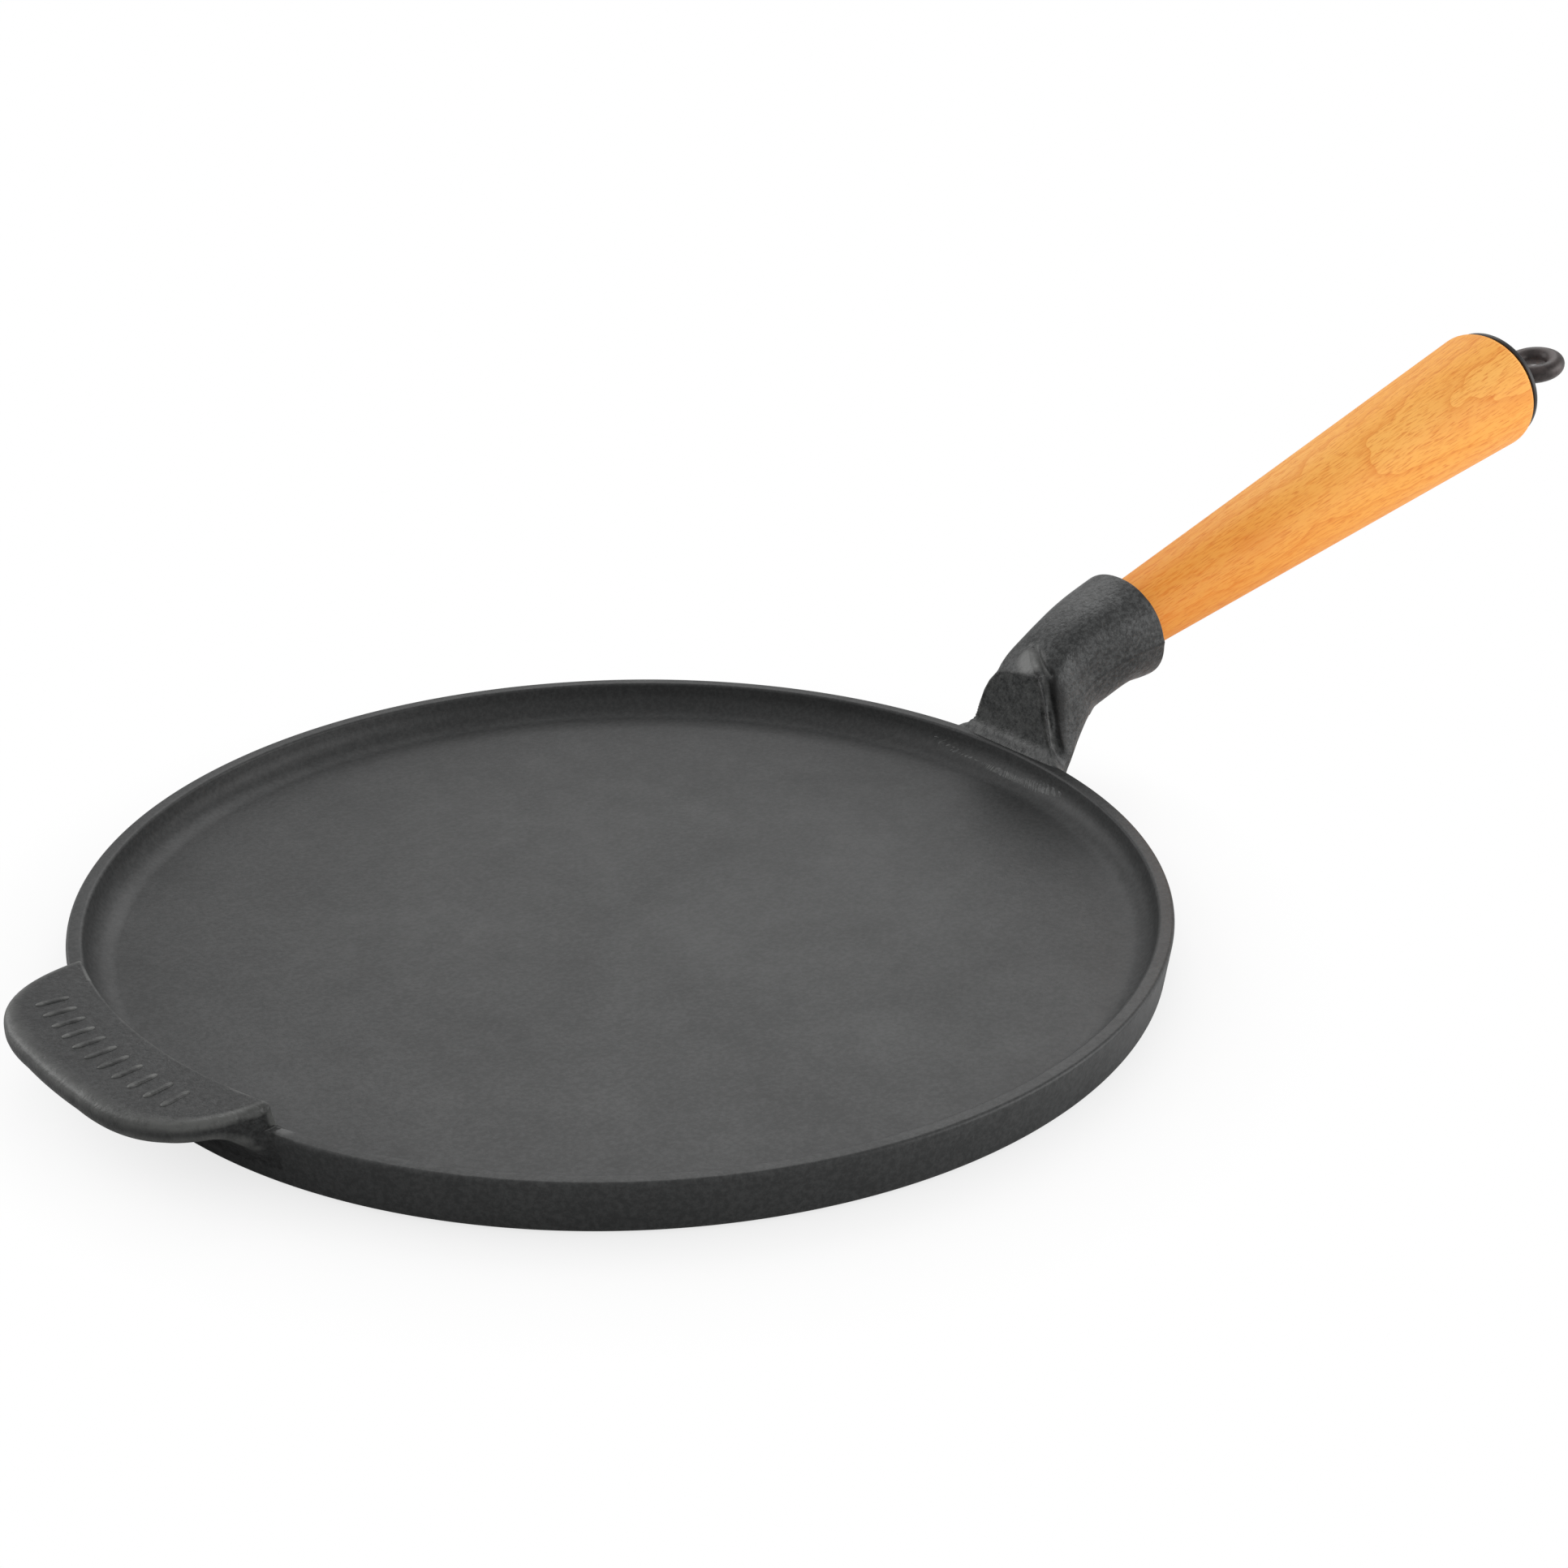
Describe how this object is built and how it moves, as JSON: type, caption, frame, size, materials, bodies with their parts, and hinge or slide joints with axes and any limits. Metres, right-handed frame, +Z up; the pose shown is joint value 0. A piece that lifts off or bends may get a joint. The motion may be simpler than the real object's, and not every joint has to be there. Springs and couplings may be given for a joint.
{
  "type": "pancake pan",
  "caption": "Cast-iron pancake pan with a low rim, a helper grip opposite a raised neck socket, and a turned beech handle held by a long screwed rod with a hanging eye",
  "frame": {"origin": "Centre of the pan's flat underside, on the plane it stands on. The handle's butt and eye, not the pan, are the far end of the object.", "axes": "+X runs from the pan's centre toward the handle, +Y is to the right of someone who holds the handle and looks at the pan, +Z is up out of the cooking face. The handle lies in the XZ plane and climbs 13.84 degrees from the horizontal."},
  "size_m": [0.4469, 0.2308, 0.0834],
  "materials": {
    "cast_iron": "seasoned, fine cast grain, dull sheen",
    "beech": "turned, oiled, satin",
    "cap_steel": "blackened, smooth, satin",
    "rod_steel": "forged, blackened, brown tinge, satin"
  },
  "bodies": {
    "pan": {"pan_casting": "cast_iron", "wood_handle": "beech"},
    "cap": {"end_cap": "cap_steel"},
    "rod": {"eye_rod": "rod_steel"}
  },
  "joints": [
    {"name": "rod_draw", "type": "slide", "parent": "pan", "child": "cap", "axis": [0.971, 0, 0.2392], "range_m": [0, 0.008]},
    {"name": "rod_turn", "type": "hinge", "parent": "cap", "child": "rod", "pos_m": [0.151, 0, 0.0341], "axis": [0.971, 0, 0.2392], "range_deg": [0, 2880]}
  ],
  "couplings": [
    {"joint": "rod_turn", "follows": "rod_draw", "rad_per_m": 6283.2}
  ]
}
